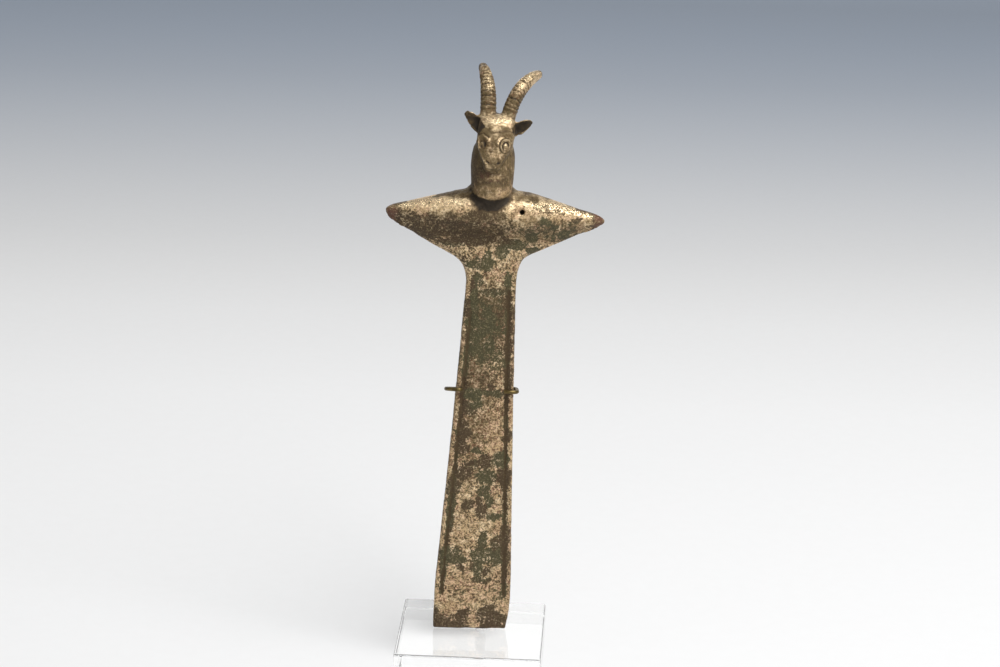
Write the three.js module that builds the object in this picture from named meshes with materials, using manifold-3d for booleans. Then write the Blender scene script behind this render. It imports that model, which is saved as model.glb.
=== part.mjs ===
// Bronze axe head whose butt is a goat's head, held upright by a wire cradle in a clear block.
// Millimetres, +Z up, the decorated face looks along -Y. The origin is the middle of the block's underside.
// The casting is drawn in its own frame first: X across the blade, Z up its middle line from the edge.

import * as THREE from 'three';
import { ParametricGeometry } from 'three/addons/geometries/ParametricGeometry.js';
import { mergeVertices } from 'three/addons/utils/BufferGeometryUtils.js';
import Module from 'manifold-3d';

const foot = { side: 50, height: 12, bevel: 0.7, socket: 1.85, socketDepth: 9 };
const stance = { lean: 2.17, turn: 3.5, shift: -0.35, gap: 0.3 };

// the blade: half widths, thickness, the two engraved grooves inside its raised rims
const blade = { edgeHalf: 13.1, narrowHalf: 8.35, straightTo: 18, narrowAt: 125, hollow: 0.25, rows: 32,
  below: 1.5, top: 137 };
const thickness = { edge: 1.5, low: 5, high: 6.4, bevelTo: 26, bevelCurve: 0.75, sunk: 0.6 };
const corner = { drop: 0.7, shoulder: 0.5, shoulderDrop: 0.1, wear: 1.2, wearHeight: 9 };
const groove = { inset: 2.4, width: 1.5, depth: 0.6, rim: 0.2, from: 11, leftTo: 118, rightTo: 127,
  fade: 5 };
const faces = { frontCrown: 0.12, backCrown: 0.15 };

// the arms: a lying spindle, with a flat web that runs down from it into the blade
const spindle = { height: 150, droop: 1.45, radius: 7.6, cone: 10.05, taper: 0.237, soften: 0.6,
  reach: 36.6 };
const spindleTip = { from: 34, rows: 14, arcs: 7 };
const web = { root: 8.3, edge: 1.3, swell: 1.9, growth: 1.7, bottom: 123, blend: 1.6, slimBelow: 5,
  roundRows: 4, flatRows: 6 };
const webLeft = { height: 131.6, slope: 0.41, curve: 0.0042, drop: 6.3, fillet: 1.1 };
const webRight = { height: 133.1, slope: 0.5, curve: 0, drop: 6.6, fillet: 0.65 };
const vent = { x: 8.7, z: 151.5, radius: 1.1, depth: 4 };

// the neck: a barrel whose rounded lower end juts out over the front of the spindle
// each ring: height, half width, how far forward and how far back it reaches
const neckX = -1.75;
const neckSides = 26;
const neckRings = [
  [154.5, 2.0, -7.2, 3.0], [155.1, 4.2, -8.0, 4.5], [156.4, 6.0, -8.7, 5.8], [158.4, 6.9, -9.0, 6.6],
  [161.5, 7.15, -8.7, 7.2], [165.5, 7.35, -7.8, 7.6], [168.8, 7.25, -6.8, 7.8], [171.2, 6.75, -6.2, 7.8],
  [173.4, 5.7, -5.4, 7.6], [176.5, 5.2, -4.5, 7.2], [179.5, 4.7, -3.5, 6.5], [181.6, 3.6, -1.5, 5.4],
  [182.5, 1.6, 0.5, 3.6],
];
const collar = { y: 1.4, z: 155.6, half: 8.9, deep: 5.8, high: 4.6 };

// the goat's head, in a frame of its own: X to its left side, -Y forwards, Z up from the casting's zero
// each ring: share of the way from the poll to the lips, half width, half depth across the face
const head = { x: -1.1, yaw: -8, slope: 57, length: 20, pollY: 1.8, pollZ: 182.2, sides: 20, boxy: 0.78 };
const headRings = [
  [0, 3.2, 1.2], [0.05, 4.9, 2.5], [0.13, 5.8, 3.5], [0.25, 6.1, 4.1], [0.38, 6.15, 4.0], [0.5, 6.1, 3.7],
  [0.6, 5.6, 3.3], [0.7, 4.7, 2.9], [0.8, 3.7, 2.6], [0.88, 3.05, 2.4], [0.94, 2.75, 2.1], [0.98, 2.1, 1.5],
  [1, 1.2, 0.8],
];
const eye = { x: 3.7, y: -6.7, z: 173.9, ball: 0.95, ring: 1.5, lid: 0.34, toe: 18 };
const brow = { reach: 2.4, from: 0.05, to: 1.0, thick: 0.42, lift: 0.45, droop: 0.4 };
const forelock = { x: -0.2, y: -4.9, z: 179, half: 1.9, high: 1.3, out: 0.7, tilt: 45 };
const nostril = { x: 1.55, y: -10.2, z: 168.9, radius: 0.42 };
const mouth = { y: -10.2, z: 166.9, half: 1.9, high: 0.32, deep: 0.9 };
const ear = { rootX: 4.2, rootZ: 176.9, rootY: 0.3, cup: 2.0, wall: 0.9, root: 0.85, swell: 0.85, tip: 0.28,
  lip: 0.72, rows: 9, arcs: 6 };
const earLeft = { rise: 41, length: 8.9, width: 5.6 };
const earRight = { rise: 31, length: 8.6, width: 5.0 };
const horn = { rootY: 1.6, rootZ: 180.2, halfDepth: 2.9, tip: 0.5, fade: 2.2, bend: 0.9, roundFrom: 0.93,
  tipCut: 1.1, boxy: 0.8 };
const hornLeft = { root: 3.5, half: 2.7, lean: 0, spread: 4.7, rise: 15.1, back: 14 };
const hornRight = { root: 3.0, half: 2.5, lean: 1.8, spread: 8.8, rise: 14.1, back: 14 };
const ribs = { count: 9, rows: 3, out: 0.3, plainRows: 7, sides: 12 };

// the cradle: two hooks round the blade's edges, on a cross wire brazed to a post
const wire = { radius: 0.68, sides: 10, height: 87.2, clear: 0.45, corner: 1.9 };
const hook = { left: -8.9, right: 9.8, leftTip: 1.3, rightTip: 3.4, leftSlope: 0.31, rightSlope: 0.18,
  rightRise: 0.6 };
const post = { radius: 1.6, x: 2.9, y: 6.2, above: 3, sides: 16 };

const bronze = new THREE.MeshStandardMaterial({ name: 'bronze', color: 0xab8c62, roughness: 0.45,
  metalness: 0.9 });
const brass = new THREE.MeshStandardMaterial({ name: 'painted brass wire', color: 0x9a8554, roughness: 0.5,
  metalness: 0.6 });
const acrylic = new THREE.MeshStandardMaterial({ name: 'clear acrylic', color: 0xf4f7f7, roughness: 0.05,
  metalness: 0, transparent: true, opacity: 0.35 });

const wasm = await Module();
wasm.setup();

const { cos, sin, exp, sqrt, abs, min, max, PI } = Math;
const point = (x, y, z) => new THREE.Vector3(x, y, z);
const mix = THREE.MathUtils.lerp;
const smooth = THREE.MathUtils.smoothstep;
const radians = THREE.MathUtils.degToRad;
const share = (t) => THREE.MathUtils.clamp(t, 0, 1);
const softMin = (a, b, soft) => (a + b - sqrt((a - b) ** 2 + soft)) / 2;
const softMax = (a, b, soft) => (a + b + sqrt((a - b) ** 2 + soft)) / 2;
const steps = (count) => Array.from({ length: count + 1 }, (_, i) => i / count);

// --- solids ---

// A closed skin through a row of rings with equal numbers of points; each end closes to its ring's middle.
function skin(rings) {
  const sides = rings[0].length;
  const middle = (ring) => ring.reduce((sum, p) => sum.add(p), point(0, 0, 0)).divideScalar(sides);
  const rows = [Array(sides).fill(middle(rings[0])), ...rings, Array(sides).fill(middle(rings.at(-1)))];
  const last = rows.length - 1;
  const place = (u, v, target) => target.copy(rows[Math.round(v * last)][Math.round(u * sides) % sides]);
  return new ParametricGeometry(place, sides, last);
}

// A closed geometry as a solid that can be joined and cut.
function solid(geometry) {
  const bare = new THREE.BufferGeometry();
  bare.setAttribute('position', geometry.getAttribute('position'));
  bare.setIndex(geometry.index);
  const merged = mergeVertices(bare);
  const corners = merged.index.array;
  const at = (i) => point(0, 0, 0).fromBufferAttribute(merged.getAttribute('position'), i);
  const faces = [];
  let volume = 0;
  for (let i = 0; i < corners.length; i += 3) {
    const [a, b, c] = corners.slice(i, i + 3);
    if (a === b || b === c || c === a) continue;
    faces.push([a, b, c]);
    volume += at(a).dot(at(b).cross(at(c)));
  }
  const outward = volume > 0 ? faces : faces.map(([a, b, c]) => [a, c, b]);
  return new wasm.Manifold(new wasm.Mesh({
    numProp: 3,
    vertProperties: new Float32Array(merged.getAttribute('position').array),
    triVerts: new Uint32Array(outward.flat()),
  }));
}

function join(shapes) {
  return shapes.reduce((whole, shape) => whole.add(shape));
}

function named(name, shape, material) {
  const { vertProperties, triVerts } = shape.getMesh();
  const geometry = new THREE.BufferGeometry();
  geometry.setAttribute('position', new THREE.BufferAttribute(vertProperties, 3));
  geometry.setIndex(new THREE.BufferAttribute(triVerts, 1));
  geometry.computeVertexNormals();
  const mesh = new THREE.Mesh(geometry, material);
  mesh.name = name;
  return mesh;
}

// A round rod along a curve, with flat ends.
function rod(curve, radius, sides, rows) {
  const frames = curve.computeFrenetFrames(rows, false);
  return solid(skin(steps(rows).map((t, i) => steps(sides).slice(1).map((turn) => curve.getPointAt(t)
    .addScaledVector(frames.normals[i], radius * cos(turn * 2 * PI))
    .addScaledVector(frames.binormals[i], radius * sin(turn * 2 * PI))))));
}

// --- blade ---

function bladeHalf(z) {
  const up = share((z - blade.straightTo) / (blade.narrowAt - blade.straightTo));
  return mix(blade.edgeHalf, blade.narrowHalf, up) - blade.hollow * 4 * up * (1 - up);
}

// Full thickness: a long body that thins to the cutting edge, and sinks into the web at its top.
function bladeThickness(z) {
  const body = mix(thickness.low, thickness.high, share(z / blade.narrowAt));
  const sunk = mix(1, thickness.sunk, smooth(z, blade.narrowAt + 2, blade.top));
  return mix(thickness.edge, body, share(z / thickness.bevelTo) ** thickness.bevelCurve) * sunk;
}

// One side of the decorated face: each station's distance from the edge, and how far it stands out.
function rimStations(z, topEnd) {
  const strength = smooth(z, groove.from, groove.from + groove.fade)
    * (1 - smooth(z, topEnd - groove.fade, topEnd));
  const half = groove.width / 2;
  return [
    [0, -corner.drop], [corner.shoulder, -corner.shoulderDrop], [groove.inset - half, groove.rim * strength],
    [groove.inset - half / 3, -groove.depth * strength], [groove.inset + half / 3, -groove.depth * strength],
    [groove.inset + half, 0],
  ];
}

function bladeRing(z) {
  const left = -bladeHalf(z);
  const right = bladeHalf(z) - corner.wear * (1 - share(z / corner.wearHeight)) ** 1.5;
  const half = bladeThickness(z) / 2;
  const relief = min(1, half / 2);
  const front = [
    ...rimStations(z, groove.leftTo).map(([inset, out]) => [left + inset, out]),
    [(left + right) / 2, faces.frontCrown],
    ...rimStations(z, groove.rightTo).reverse().map(([inset, out]) => [right - inset, out]),
  ];
  const crowned = steps(6).slice(1, -1).map((t) => [mix(right, left, t), faces.backCrown * sin(PI * t)]);
  const back = [
    [right, -corner.drop], [right - corner.shoulder, -corner.shoulderDrop], ...crowned,
    [left + corner.shoulder, -corner.shoulderDrop], [left, -corner.drop],
  ];
  return [
    ...front.map(([x, out]) => point(x, -half - out * relief, z)),
    ...back.map(([x, out]) => point(x, half + out * relief, z)),
  ];
}

function makeBlade() {
  return solid(skin(steps(blade.rows).map((t) => bladeRing(mix(-blade.below, blade.top, t)))));
}

// --- arms ---

function spindleRadius(x) {
  const plain = softMin(spindle.cone - spindle.taper * abs(x), spindle.radius, spindle.soften);
  const past = max(abs(x) - spindleTip.from, 0) / (spindle.reach - spindleTip.from);
  return plain * sqrt(max(1 - past ** 2, 0.01));
}

function spindleAxis(x) {
  return spindle.height - spindle.droop * (abs(x) / spindle.reach) ** 1.5;
}

// Lower outline of the arms: a fillet out of the blade's edge, then a long rise to the tip.
function webBottom(x) {
  const out = abs(x) - web.root;
  if (out < 0) return web.bottom;
  const side = x < 0 ? webLeft : webRight;
  return side.height + side.slope * out + side.curve * out ** 2 - side.drop * exp(-out / side.fillet);
}

// Half thickness of the web at a height above its lower edge, which is rounded.
function webHalf(above) {
  const round = web.edge * sqrt(max(1 - max(1 - above / web.edge, 0) ** 2, 0));
  return round + web.swell * (1 - exp(-max(above - web.edge, 0) / web.growth));
}

function armRing(x) {
  const radius = spindleRadius(x);
  const axis = spindleAxis(x);
  const slim = min(1, radius / web.slimBelow);
  const bottom = min(webBottom(x), axis - radius - 0.3);
  const turning = max(axis - radius, bottom);
  const upper = steps(spindleTip.arcs).slice(0, -1).map((t) => t * PI / 2)
    .map((a) => [radius * sin(a), axis + radius * cos(a)]);
  const levels = [
    ...steps(web.roundRows).slice(0, -1).map((t) => mix(axis, turning, t)),
    ...steps(web.flatRows).slice(0, -1).map((t) => mix(turning, bottom, 1 - (1 - t) ** 1.5)),
  ];
  const lower = levels.map((z) => {
    const round = sqrt(max(radius ** 2 - (axis - z) ** 2, 0));
    const blend = web.blend * slim ** 2 * smooth(axis - z, 0, radius);
    return [softMax(round, webHalf(z - bottom) * slim, blend * smooth(z - bottom, 0, 3)), z];
  });
  const half = [...upper, ...lower];
  const front = half.map(([y, z]) => point(x, -y, z));
  const back = half.slice(1).reverse().map(([y, z]) => point(x, y, z));
  return [...front, point(x, 0, bottom), ...back];
}

function makeArms() {
  const outer = steps(spindleTip.rows).map((t) => mix(web.root, spindle.reach, (1 - cos(PI * t)) / 2));
  const places = [...outer.map((x) => -x).reverse(), -web.root / 2, 0, web.root / 2, ...outer];
  return solid(skin(places.map(armRing)));
}

function makeVent() {
  const drill = new THREE.CylinderGeometry(vent.radius, vent.radius, vent.depth * 2, 12);
  const surface = -sqrt(spindleRadius(vent.x) ** 2 - (vent.z - spindleAxis(vent.x)) ** 2);
  drill.translate(vent.x, surface, vent.z);
  return solid(drill);
}

// --- neck ---

function makeNeck() {
  const barrel = neckRings.map(([z, half, front, back]) => steps(neckSides).slice(1).map((turn) => point(
    neckX + half * cos(turn * 2 * PI),
    (front + back) / 2 + (back - front) / 2 * sin(turn * 2 * PI),
    z,
  )));
  const swelling = new THREE.SphereGeometry(1, 20, 10).scale(collar.half, collar.deep, collar.high);
  return solid(skin(barrel)).add(solid(swelling.translate(neckX, collar.y, collar.z)));
}

// --- goat's head: drawn facing -Y in its own frame ---

const slope = radians(head.slope);
const faceAlong = point(0, -cos(slope), -sin(slope));
const faceOut = point(0, -sin(slope), cos(slope));

// Squares a ring off a little, so that the face is broad and the cheeks and horns are flat.
function boxed(out, boxy) {
  return Math.sign(out) * abs(out) ** boxy;
}

function makeSkull() {
  return solid(skin(headRings.map(([along, half, deep]) => {
    const middle = point(0, head.pollY, head.pollZ).addScaledVector(faceAlong, along * head.length);
    return steps(head.sides).slice(1).map((turn) => {
      const across = boxed(cos(turn * 2 * PI), head.boxy);
      const out = boxed(sin(turn * 2 * PI), head.boxy);
      return middle.clone().addScaledVector(faceOut, deep * out).add(point(half * across, 0, 0));
    });
  })));
}

// An eyeball in a raised lid, under an arched brow; both eyes are drawn on the face's plane and turned out.
function makeEye(side) {
  const ball = new THREE.SphereGeometry(1, 8, 6).scale(eye.ball, eye.ball, 0.8);
  const lid = new THREE.TorusGeometry(eye.ring, eye.lid, 5, 14);
  const arch = new THREE.CatmullRomCurve3(steps(6).map((t) => mix(brow.from, brow.to, t) * PI)
    .map((a) => point(brow.reach * cos(a) * side, brow.reach * sin(a), brow.lift - brow.droop * cos(a))));
  return join([solid(ball), solid(lid), rod(arch, brow.thick, 6, 8)].map((shape) => shape
    .rotate([head.slope, 0, 0]).rotate([0, 0, side * eye.toe]).translate([side * eye.x, eye.y, eye.z])));
}

function makeForelock() {
  const tuft = new THREE.SphereGeometry(1, 10, 6).scale(forelock.half, forelock.high, forelock.out);
  return solid(tuft).rotate([forelock.tilt, 0, 0]).translate([forelock.x, forelock.y, forelock.z]);
}

// The cuts of the muzzle: two nostrils and the line of the mouth.
function makeMuzzleCuts() {
  const holes = [-1, 1].map((side) => solid(new THREE.SphereGeometry(nostril.radius, 8, 6))
    .translate([side * nostril.x, nostril.y, nostril.z]));
  const lips = solid(new THREE.BoxGeometry(mouth.half * 2, mouth.deep * 2, mouth.high))
    .translate([0, mouth.y, mouth.z]);
  return join([...holes, lips]);
}

// Ears: cupped leaves, hollow side to the front, pointed outwards and up.
function makeEar(side, size) {
  const rise = radians(size.rise);
  const reach = point(side * cos(rise), 0, sin(rise));
  const across = point(-side * sin(rise), 0, cos(rise));
  const rings = steps(ear.rows).map((t) => {
    const half = size.width / 2 * (ear.root + ear.swell * t - (ear.root + ear.swell - ear.tip) * t ** 2);
    const bow = ear.cup * (1 - 0.6 * t);
    const middle = point(side * ear.rootX, ear.rootY, ear.rootZ).addScaledVector(reach, t * size.length);
    const shell = (deep, shrink) => steps(ear.arcs).map((a) => middle.clone()
      .addScaledVector(across, -half * shrink * cos(a * PI))
      .add(point(0, deep * sin(a * PI), 0)));
    const hollow = shell(bow - ear.wall, ear.lip).reverse().map((p) => p.add(point(0, -0.15, 0)));
    return [...shell(bow, 1), ...hollow];
  });
  return solid(skin(rings));
}

// Horns: a tapering sweep up and back, ribbed across its front face.
function makeHorn(side, sweep) {
  const root = point(side * sweep.root, horn.rootY, horn.rootZ);
  const path = new THREE.QuadraticBezierCurve3(
    root,
    root.clone().add(point(side * sweep.lean, sweep.back * 0.15, sweep.rise * horn.bend)),
    root.clone().add(point(side * sweep.spread, sweep.back, sweep.rise)),
  );
  const ribbed = ribs.count * ribs.rows;
  const total = ribbed + ribs.plainRows;
  const sidewise = point(1, 0, 0);
  const rings = steps(total).map((t, i) => {
    const heading = path.getTangentAt(t);
    const forward = point(0, 0, 0).crossVectors(sidewise, heading).normalize();
    const width = point(0, 0, 0).crossVectors(heading, forward).normalize();
    const past = max((t - horn.roundFrom) / (1 - horn.roundFrom), 0);
    const round = sqrt((horn.tipCut - past ** 2) / horn.tipCut);
    const taper = mix(1, horn.tip, t ** horn.fade) * round;
    const rib = i % ribs.rows === 0 && i > 3 && i <= ribbed ? ribs.out : 0;
    return steps(ribs.sides).slice(1).map((turn) => {
      const out = boxed(cos(turn * 2 * PI), horn.boxy);
      return path.getPointAt(t)
        .addScaledVector(width, sweep.half * taper * boxed(sin(turn * 2 * PI), horn.boxy))
        .addScaledVector(forward, (horn.halfDepth * taper + rib * max(out, 0)) * out);
    });
  });
  return solid(skin(rings));
}

function makeHead() {
  const shapes = [makeSkull(), makeForelock(), makeEye(-1), makeEye(1)];
  shapes.push(makeEar(-1, earLeft), makeEar(1, earRight), makeHorn(-1, hornLeft), makeHorn(1, hornRight));
  return join(shapes).subtract(makeMuzzleCuts()).rotate([0, 0, head.yaw]).translate([head.x, 0, 0]);
}

// --- casting ---

// From the casting's own frame to its place: leaning a little, on the block, and turned on it.
function standing(shape) {
  return shape.rotate([0, stance.lean, 0]).translate([stance.shift, 0, foot.height])
    .rotate([0, 0, stance.turn]);
}

function makeAxe() {
  const casting = join([makeBlade(), makeArms(), makeNeck(), makeHead()]).subtract(makeVent());
  const below = solid(new THREE.BoxGeometry(foot.side, foot.side, foot.height)
    .translate(0, 0, foot.height / 2 + stance.gap));
  return standing(casting).subtract(below);
}

// --- cradle and foot ---

// The wire's middle line: the left hook's tip and bend, the run behind the blade, the squarer right hook.
// Both hooks rise towards their tips, the left one more steeply.
function hookLine() {
  const out = bladeThickness(wire.height) / 2 + wire.clear + wire.radius;
  const arc = (x, y, radius, from, to) => steps(6).map((t) => mix(from, to, t) * PI)
    .map((a) => point(x + radius * cos(a), y + radius * sin(a), wire.height));
  const turn = hook.right + wire.clear + wire.radius - wire.corner;
  const level = [
    point(hook.left + hook.leftTip, -out, wire.height),
    ...arc(hook.left, 0, out, 1.5, 0.5),
    point(0, out, wire.height),
    ...arc(turn, out - wire.corner, wire.corner, 0.5, 0),
    ...arc(turn, wire.corner - out, wire.corner, 0, -0.5),
    point(hook.right - hook.rightTip, -out, wire.height),
  ];
  const sloped = level.map(({ x, y, z }) => {
    const across = smooth(x, hook.left, hook.right);
    return point(x, y, z + hook.rightRise * across - mix(hook.leftSlope, hook.rightSlope, across) * y);
  });
  return new THREE.CatmullRomCurve3(sloped, false, 'centripetal');
}

function makeCradle() {
  const top = foot.height + wire.height + post.above;
  const bottom = foot.height - foot.socketDepth + stance.gap;
  const upright = new THREE.CylinderGeometry(post.radius, post.radius, top - bottom, post.sides);
  upright.rotateX(PI / 2).translate(post.x, post.y, (top + bottom) / 2);
  return solid(upright).add(standing(rod(hookLine(), wire.radius, wire.sides, 48)));
}

// A polished block with bevelled edges and a blind socket for the post.
function makeFoot() {
  const half = foot.side / 2 - foot.bevel;
  const square = new THREE.Shape([[-half, -half], [half, -half], [half, half], [-half, half]]
    .map(([x, y]) => new THREE.Vector2(x, y)));
  const block = new THREE.ExtrudeGeometry(square, { depth: foot.height - 2 * foot.bevel, bevelEnabled: true,
    bevelThickness: foot.bevel, bevelSize: foot.bevel, bevelSegments: 1 });
  block.translate(0, 0, foot.bevel);
  const socket = new THREE.CylinderGeometry(foot.socket, foot.socket, foot.socketDepth * 2, post.sides);
  socket.rotateX(PI / 2).translate(post.x, post.y, foot.height);
  return solid(block).subtract(solid(socket));
}

const part = new THREE.Group();
part.add(named('axe_head', makeAxe(), bronze));
part.add(named('cradle', makeCradle(), brass));
part.add(named('foot', makeFoot(), acrylic));

export default part;
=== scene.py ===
from math import cos, pi, radians, sin

import bmesh
import bpy
import numpy as np
from mathutils import Matrix, Vector
from mathutils.bvhtree import BVHTree


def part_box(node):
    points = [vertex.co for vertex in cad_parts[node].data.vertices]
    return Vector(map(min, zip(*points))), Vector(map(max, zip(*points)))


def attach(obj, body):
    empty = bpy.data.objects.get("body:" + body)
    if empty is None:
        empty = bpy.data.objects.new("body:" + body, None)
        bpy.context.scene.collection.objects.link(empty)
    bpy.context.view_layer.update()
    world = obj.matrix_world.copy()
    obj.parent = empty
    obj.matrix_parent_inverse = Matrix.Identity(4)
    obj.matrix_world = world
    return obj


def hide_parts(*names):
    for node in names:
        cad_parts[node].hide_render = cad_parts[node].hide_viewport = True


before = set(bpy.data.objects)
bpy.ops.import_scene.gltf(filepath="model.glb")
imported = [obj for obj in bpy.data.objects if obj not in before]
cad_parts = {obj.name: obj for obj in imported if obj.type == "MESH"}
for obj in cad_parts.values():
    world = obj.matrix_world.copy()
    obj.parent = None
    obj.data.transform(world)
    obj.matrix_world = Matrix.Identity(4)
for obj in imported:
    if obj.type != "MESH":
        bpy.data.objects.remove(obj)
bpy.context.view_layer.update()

# A bronze axe head with a goat's head for its butt, in a wire cradle on a clear block.
# Sizes in the dictionaries are millimetres unless a note says otherwise, heights on the casting are
# from its cutting edge, and left and right are as seen from in front of its decorated face.

mm = 0.001
blockLow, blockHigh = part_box("foot")

# how the casting stands on the block: leaning to the right, and turned on it
stance = {"lean": 2.17, "turn": 3.5, "shift": -0.35}  # degrees, degrees, mm
castingPlace = (
    Matrix.Rotation(radians(stance["turn"]), 4, "Z")
    @ Matrix.Translation((stance["shift"] * mm, 0, blockHigh.z))
    @ Matrix.Rotation(radians(stance["lean"]), 4, "Y")
)


def fade(value, low, high):  # rises smoothly from 0 at low to 1 at high
    part = np.clip((value - low) / (high - low), 0, 1)
    return part * part * (3 - 2 * part)


def between(value, low, full, fullTo, high):  # rises from low to full, falls from fullTo to high
    return fade(value, low, full) * (1 - fade(value, fullTo, high))


def bump(value, middle, half):  # a soft hump, 1 at its middle
    return np.exp(-((value - middle) / half) ** 2)


# smooth lumps about size mm across, from 0 to 1; the same seed gives the same lumps
def cloud(points, size, seed):
    side = 48
    lattice = np.random.RandomState(seed).rand(side, side, side)
    cell = points / size + 500
    base = np.floor(cell).astype(int)
    part = cell - base
    part = part * part * (3 - 2 * part)
    total = np.zeros(len(points))
    for corner in range(8):
        step = np.array([corner & 1, corner >> 1 & 1, corner >> 2 & 1])
        weight = np.prod(np.where(step, part, 1 - part), axis=1)
        x, y, z = ((base + step) % side).T
        total += weight * lattice[x, y, z]
    return total


def layeredCloud(points, size, seed, layers=3):
    total, weight, share = 0, 0, 1.0
    for layer in range(layers):
        total = total + share * cloud(points, size / 2 ** layer, seed + layer)
        weight += share
        share *= 0.6
    return total / weight


def swell(points, size, seed):  # the same lumps, above and below 0
    return layeredCloud(points, size, seed) - 0.5


def link(piece):
    bpy.context.scene.collection.objects.link(piece)
    return piece


def pieceFrom(bm, name, smooth=True):
    mesh = bpy.data.meshes.new(name)
    bm.to_mesh(mesh)
    bm.free()
    mesh.polygons.foreach_set("use_smooth", [smooth] * len(mesh.polygons))
    return link(bpy.data.objects.new(name, mesh))


# a piece's modifiers made part of its mesh
def settle(piece):
    graph = bpy.context.evaluated_depsgraph_get()
    mesh = bpy.data.meshes.new_from_object(piece.evaluated_get(graph))
    piece.modifiers.clear()
    piece.data = mesh


def finishAs(piece, material, node):
    piece.data.materials.clear()
    piece.data.materials.append(material)
    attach(piece, "root")
    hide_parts(node)


# the camera stands well back, a little above the casting
cameraView = {
    "target": (7.75, 0, 119.6),
    "azimuth": 2.54,  # degrees, to the right
    "elevation": 17.35,
    "distance": 939.8,
    "roll": 1.27,
    "lens": 100.8,
    "sees": 20,  # metres
}


def makeCamera():
    az = radians(cameraView["azimuth"])
    el = radians(cameraView["elevation"])
    away = Vector((sin(az) * cos(el), -cos(az) * cos(el), sin(el)))
    data = bpy.data.cameras.new("camera")
    data.lens = cameraView["lens"]
    data.clip_end = cameraView["sees"]
    camera = link(bpy.data.objects.new("camera", data))
    place = Vector(cameraView["target"]) * mm + away * cameraView["distance"] * mm
    aim = away.to_track_quat("Z", "Y").to_matrix().to_4x4()
    roll = Matrix.Rotation(radians(cameraView["roll"]), 4, "Z")
    camera.matrix_world = Matrix.Translation(place) @ aim @ roll
    bpy.context.scene.camera = camera
    print("camera set")


class Nodes:
    # a material's node tree, with short calls for the nodes that the finishes below are made of
    def __init__(self, name):
        self.material = bpy.data.materials.new(name)
        self.material.use_nodes = True
        self.tree = self.material.node_tree
        self.shader = self.tree.nodes["Principled BSDF"]
        self.coords = self.tree.nodes.new("ShaderNodeTexCoord").outputs["Object"]

    def wire(self, source, socket):
        if hasattr(source, "is_output"):
            self.tree.links.new(source, socket)
        else:
            socket.default_value = source

    def finish(self, name, value):  # one of the shader's own settings
        self.wire(value, self.shader.inputs[name])

    def mapped(self, perMetre=1000, shift=(0, 0, 0)):  # at 1000 a pattern is in millimetres
        node = self.tree.nodes.new("ShaderNodeMapping")
        node.inputs["Scale"].default_value = (perMetre, perMetre, perMetre)
        node.inputs["Location"].default_value = shift
        self.wire(self.coords, node.inputs["Vector"])
        return node.outputs["Vector"]

    def noise(self, vector, scale, detail=3, roughness=0.5, distortion=0):
        node = self.tree.nodes.new("ShaderNodeTexNoise")
        self.wire(vector, node.inputs["Vector"])
        node.inputs["Scale"].default_value = scale
        node.inputs["Detail"].default_value = detail
        node.inputs["Roughness"].default_value = roughness
        node.inputs["Distortion"].default_value = distortion
        return node.outputs["Fac"]

    def painted(self, name):  # a value kept on the mesh's points
        node = self.tree.nodes.new("ShaderNodeAttribute")
        node.attribute_name = name
        return node.outputs["Fac"]

    def reckon(self, a, b, operation):
        node = self.tree.nodes.new("ShaderNodeMath")
        node.operation = operation
        self.wire(a, node.inputs[0])
        self.wire(b, node.inputs[1])
        return node.outputs[0]

    def sum(self, a, b):
        return self.reckon(a, b, "ADD")

    def times(self, a, b):
        return self.reckon(a, b, "MULTIPLY")

    def larger(self, a, b):
        return self.reckon(a, b, "MAXIMUM")

    def swing(self, value, size):  # a noise turned into plus or minus half the size
        return self.times(self.sum(value, -0.5), size)

    def ramp(self, value, low, high, out=(0, 1), way="SMOOTHSTEP"):
        node = self.tree.nodes.new("ShaderNodeMapRange")
        node.interpolation_type = way
        self.wire(value, node.inputs["Value"])
        for name, level in zip(("From Min", "From Max", "To Min", "To Max"), (low, high, *out)):
            node.inputs[name].default_value = level
        return node.outputs["Result"]

    def mix(self, share, a, b, way="MIX"):
        node = self.tree.nodes.new("ShaderNodeMix")
        node.data_type = "RGBA"
        node.blend_type = way
        self.wire(share, node.inputs["Factor"])
        self.wire(a, node.inputs["A"])
        self.wire(b, node.inputs["B"])
        return node.outputs["Result"]

    def relief(self, height, depth, strength=1):  # depth in mm
        node = self.tree.nodes.new("ShaderNodeBump")
        node.inputs["Strength"].default_value = strength
        node.inputs["Distance"].default_value = depth * mm
        self.wire(height, node.inputs["Height"])
        self.finish("Normal", node.outputs["Normal"])


def rgb(red, green, blue):  # screen colours to the shader's own
    levels = [((c / 255 + 0.055) / 1.055) ** 2.4 for c in (red, green, blue)]
    return (*levels, 1)


bronzeColours = {
    # the crust, with its rubbed colour that also serves as painted highlight
    "cream": (246, 222, 182), "pinkish": (234, 200, 164), "ochre": (208, 178, 134),
    "speck": (160, 132, 92), "grain": (146, 120, 84), "rubbedAndLit": (236, 212, 172),
    "film": (90, 74, 44),
    # the oxide, and the crust's colour where that shows through it
    "olive": (80, 78, 50), "purpleBrown": (80, 61, 40), "redBrown": (118, 76, 60),
    "deepBrown": (56, 46, 27), "crustDot": (132, 118, 84),
    # pits, and the dirt and painted shade in hollows
    "pit": (100, 80, 52), "redPit": (116, 78, 56), "dirtAndShade": (74, 57, 33), "deepShadeAndDirt": (34, 26, 16),
}


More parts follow.
